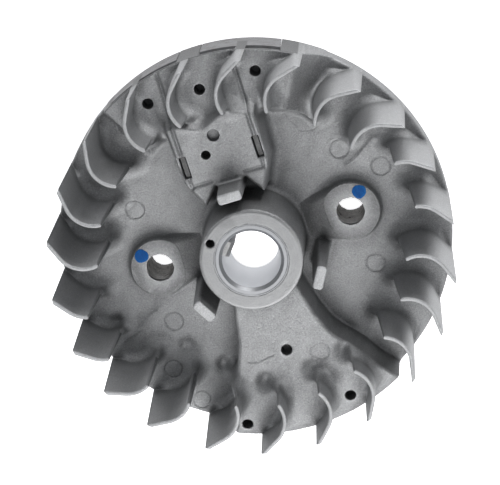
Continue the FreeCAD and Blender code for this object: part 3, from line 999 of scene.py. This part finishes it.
# %% Wire coil tree
def coil_tree():
    g = Shaper("wire_thread", {"Centre X": bolt_x, "Coil Radius": 4.05, "Wire Radius": 0.37, "Pitch": 1.25,
                               "Turns": 10.2, "Bottom": 0.7, "Points per Turn": 40}, wire_finish)
    turns, radius, thickness = g.given("Turns"), g.given("Coil Radius") * MM, g.given("Wire Radius") * MM
    spiral = g.add("GeometryNodeCurveSpiral", inputs={
        "Resolution": g.given("Points per Turn"), "Rotations": turns, "Start Radius": radius,
        "End Radius": radius, "Height": turns * g.given("Pitch") * MM})
    wire = g.add("GeometryNodeCurvePrimitiveCircle", inputs={"Resolution": 6, "Radius": thickness})
    spot = g.vector(x=g.given("Centre X") * MM, z=g.given("Bottom") * MM)
    placed = g.add("GeometryNodeTransform", inputs={"Geometry": g.swept(spiral, wire), "Translation": spot})
    g.close(g.add("GeometryNodeSetShadeSmooth", inputs={"Geometry": placed}))
    return g


coils = coil_tree()
right_wire = coils.build("right_wire_thread")
left_wire = coils.build("left_wire_thread", **{"Centre X": -bolt_x})
print("wire threads:", triangles(right_wire.data), "triangles each")

# %% [markdown]
# ## Stacked pole sheets
# The poles are stamped from thin sheet and riveted, which keeps the magnetism from
# making heat. One sheet is a rounded strip swept along an arc. Eleven copies are
# stacked, each turned by a hair, as no stack is perfectly square.

# %% Sheet stack tree
def stack_tree():
    g = Shaper("sheet_stack", {"Inner Radius": pole_inner_radius, "Outer Radius": fan_radius - 0.06,
                               "First Angle": 0.0, "Last Angle": 1.0, "Thickness": 1.0, "Gap": 0.05,
                               "Corner": 0.10, "Bottom": rim_bottom, "Sheets": 11, "Seed": 4}, pole_finish)
    inner, outer, thickness = g.given("Inner Radius"), g.given("Outer Radius"), g.given("Thickness")
    first, last = g.given("First Angle"), g.given("Last Angle")
    middle = (inner + outer) * (MM / 2)
    arc = {"Resolution": 25, "Radius": middle, "Start Angle": first, "Sweep Angle": last - first}
    path = g.add("GeometryNodeCurveArc", {"mode": "RADIUS"}, arc)
    upright = g.add("GeometryNodeSetCurveNormal", {"mode": "Z_UP"}, {"Curve": path})
    section = g.add("GeometryNodeCurvePrimitiveQuadrilateral", inputs={
        "Width": (outer - inner) * MM, "Height": (thickness - g.given("Gap")) * MM})
    corner = {"Curve": section, "Count": 2, "Radius": g.given("Corner") * MM}
    sheet = g.swept(upright, g.add("GeometryNodeFilletCurve", {"mode": "POLY"}, corner))
    start = g.vector(z=(g.given("Bottom") + thickness * 0.5) * MM)
    line = {"Count": g.given("Sheets"), "Start Location": start, "Offset": g.vector(z=thickness * MM)}
    stack = g.add("GeometryNodeMeshLine", inputs=line)
    hair = g.add("FunctionNodeRandomValue", {"data_type": "FLOAT"},
                 {2: -0.0011, 3: 0.0011, "Seed": g.given("Seed")}, output=1)
    g.close(g.placed(stack, sheet, Rotation=g.vector(z=hair)))
    return g


stacks = stack_tree()
pole_stacks = {}
for seed, (side, span) in enumerate(pole_spans.items()):
    angles = {"First Angle": math.radians(span[0] + 0.1), "Last Angle": math.radians(span[1] - 0.1)}
    pole_stacks[side] = stacks.build(side + "_pole_stack", Seed=seed + 4, **angles)
    pole_stacks[side].data.set_sharp_from_angle(angle=math.radians(40))
print("sheets:", {side: triangles(piece.data) for side, piece in pole_stacks.items()})

# %% [markdown]
# ## Paint dabs
# The inspector touches each bolt boss with a blob of paint. It is a low dome with a
# wavering edge, thin at the rim. The rings of the dome are laid by code with a
# fixed set of waves, so that both dabs differ and stay the same on every run.

# %% Paint dabs
def paint_dab(name, centre, phase):
    rings = ((0.30, 0.150), (0.60, 0.145), (0.82, 0.125), (0.94, 0.085), (1.0, 0.030), (0.97, -0.05))
    around = 48
    points, thin = [(centre[0], centre[1], boss_face + 0.15)], [0.0]
    for share, height in rings:
        for n in range(around):
            a = 2 * math.pi * n / around
            wave = 1 + share * (0.04 * math.sin(3 * a + phase) + 0.015 * math.sin(5 * a - 2 * phase)
                                + 0.015 * math.sin(11 * a + phase))
            r = 1.9 * share * wave
            points.append((centre[0] + r * math.cos(a), centre[1] + r * math.sin(a), boss_face + height))
            thin.append(max(0.0, share - 0.6) / 0.4)
    points.append((centre[0], centre[1], boss_face - 0.05))
    thin.append(0.0)
    faces = [(0, 1 + n, 1 + (n + 1) % around) for n in range(around)]
    for ring in range(len(rings) - 1):
        a, b = 1 + ring * around, 1 + (ring + 1) * around
        faces += [(a + n, b + n, b + (n + 1) % around, a + (n + 1) % around) for n in range(around)]
    faces += [(len(points) - 1, b + (n + 1) % around, b + n) for n in range(around)]
    mesh = bpy.data.meshes.new(name)
    mesh.from_pydata([Vector(p) * MM for p in points], [], faces)
    mesh.shade_smooth()
    mesh.materials.append(paint_finish)
    store(mesh, "thin", np.array(thin))
    return show(name, mesh)


right_dab = paint_dab("right_paint_dab", (30.75, 4.6), 0.7)
left_dab = paint_dab("left_paint_dab", (-30.75, 4.6), 2.9)
print("dabs:", len(left_dab.data.vertices), "points each")

# %% [markdown]
# ## Parts that keep their measured shape
# The bush, the key, the magnet, its side plates and the rivets are turned, ground or
# pressed parts, and the frame already holds them exactly. They only need a finish.

# %% Carried-over parts
kept_parts = {"hub_insert": bush_finish, "drive_key": key_finish, "magnet_block": magnet_finish,
              "left_pole_plate": plate_finish, "right_pole_plate": plate_finish, "pole_rivets": rivet_finish}
for node, finish in kept_parts.items():
    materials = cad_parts[node].data.materials
    for n in range(max(1, len(materials))):
        if n < len(materials):
            materials[n] = finish
        else:
            materials.append(finish)
print("kept:", ", ".join(kept_parts))

# %% Everything rides on the one body
new_pieces = [
    (wheel_body, "cast_aluminium", ["flywheel_casting"]),
    (fan_blades, "cast_aluminium", ["flywheel_casting"]),
    (right_wire, "thread_wire", ["right_thread_insert"]),
    (left_wire, "thread_wire", ["left_thread_insert"]),
    (right_dab, "blue_paint", ["right_paint_mark"]),
    (left_dab, "blue_paint", ["left_paint_mark"]),
]
for side, piece in pole_stacks.items():
    new_pieces.append((piece, "pole_steel", ["%s_pole_sheet_%02d" % (side, n) for n in range(1, 12)]))
for piece, slot, nodes in new_pieces:
    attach(piece, "root")
    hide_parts(*nodes)
print("new pieces:", len(new_pieces))

# %% [markdown]
# ## Studio
# A small metal part is lit like a product: it lies on a bright pale table that glows and lights it from
# below, under a large soft lamp on the near side and a small low one on the far side. Its level
# faces are even, and its walls mirror the table or the dark between the blades.

# %% Pale table
table_mesh = bpy.data.meshes.new("table")
table_mesh.from_pydata([(-2, -2, 0), (2, -2, 0), (2, 2, 0), (-2, 2, 0)], [], [(0, 1, 2, 3)])
table = show("table", table_mesh)


def pale_table():
    f = Finish("pale_table")
    cloud = f.grain(400.0, 2.0)
    seen = f.add("ShaderNodeLightPath", output="Is Camera Ray")
    x, y, z, radius = f.axes()
    # The table glows and lights the wheel. Under the bore it glows more, a painted pool of light for the
    # bore's wall, and it glows more towards the far side as painted light from there
    bore_light_pool = 1 - (radius - 10.0).clamped()
    beyond = ((x * 0.4 + y) / 100.0 - 0.3).clamped()
    tint = f.blend(cloud, (0.86, 0.86, 0.87, 1), (0.90, 0.90, 0.90, 1))
    strength = 0.35 + bore_light_pool * 0.9 + beyond * 0.5 + seen * 0.75
    glow = f.add("ShaderNodeEmission", inputs={"Color": tint, "Strength": strength})
    paper = f.add("ShaderNodeBsdfDiffuse", inputs={"Color": tint})
    both = f.add("ShaderNodeAddShader", inputs={0: glow, 1: paper})
    f.add("ShaderNodeOutputMaterial", inputs={"Surface": both})
    return f.material


table_mesh.materials.append(pale_table())

# %% Soft lamps
def soft_lamp(name, place, aim, size, power, colour=(1, 1, 1)):
    lamp = bpy.data.lights.new(name, "AREA")
    lamp.size, lamp.energy, lamp.color = size, power, colour
    holder = bpy.data.objects.new(name, lamp)
    bpy.context.scene.collection.objects.link(holder)
    holder.location = place
    holder.rotation_euler = (Vector(aim) - Vector(place)).to_track_quat("-Z", "Y").to_euler()
    return holder


wheel_middle = (0, 0, 0.012)
soft_lamp("near_side", (-0.05, -0.46, 0.54), wheel_middle, 0.65, 4.4)
soft_lamp("far_side", (0.40, 0.70, 0.16), wheel_middle, 0.35, 3.2)
sky = bpy.data.worlds.new("studio_walls")
sky.use_nodes = True
sky.node_tree.nodes["Background"].inputs["Color"].default_value = (0.95, 0.97, 1.0, 1)
sky.node_tree.nodes["Background"].inputs["Strength"].default_value = 0.27
bpy.context.scene.world = sky
bpy.context.scene.view_settings.view_transform = "Standard"

# %% Camera
right_way = Vector((0.950557, -0.306789, -0.04815))
up_way = Vector((0.281032, 0.915784, -0.286984))
back_way = Vector((0.132142, 0.259262, 0.956724))
lens = bpy.data.cameras.new("camera")
lens.sensor_fit, lens.sensor_width, lens.lens = "HORIZONTAL", 36.0, 149.61
camera = bpy.data.objects.new("camera", lens)
bpy.context.scene.collection.objects.link(camera)
stand = Matrix((right_way, up_way, back_way)).transposed().to_4x4()
stand.translation = (0.07253, 0.14479, 0.55055)
camera.matrix_world = stand
bpy.context.scene.camera = camera
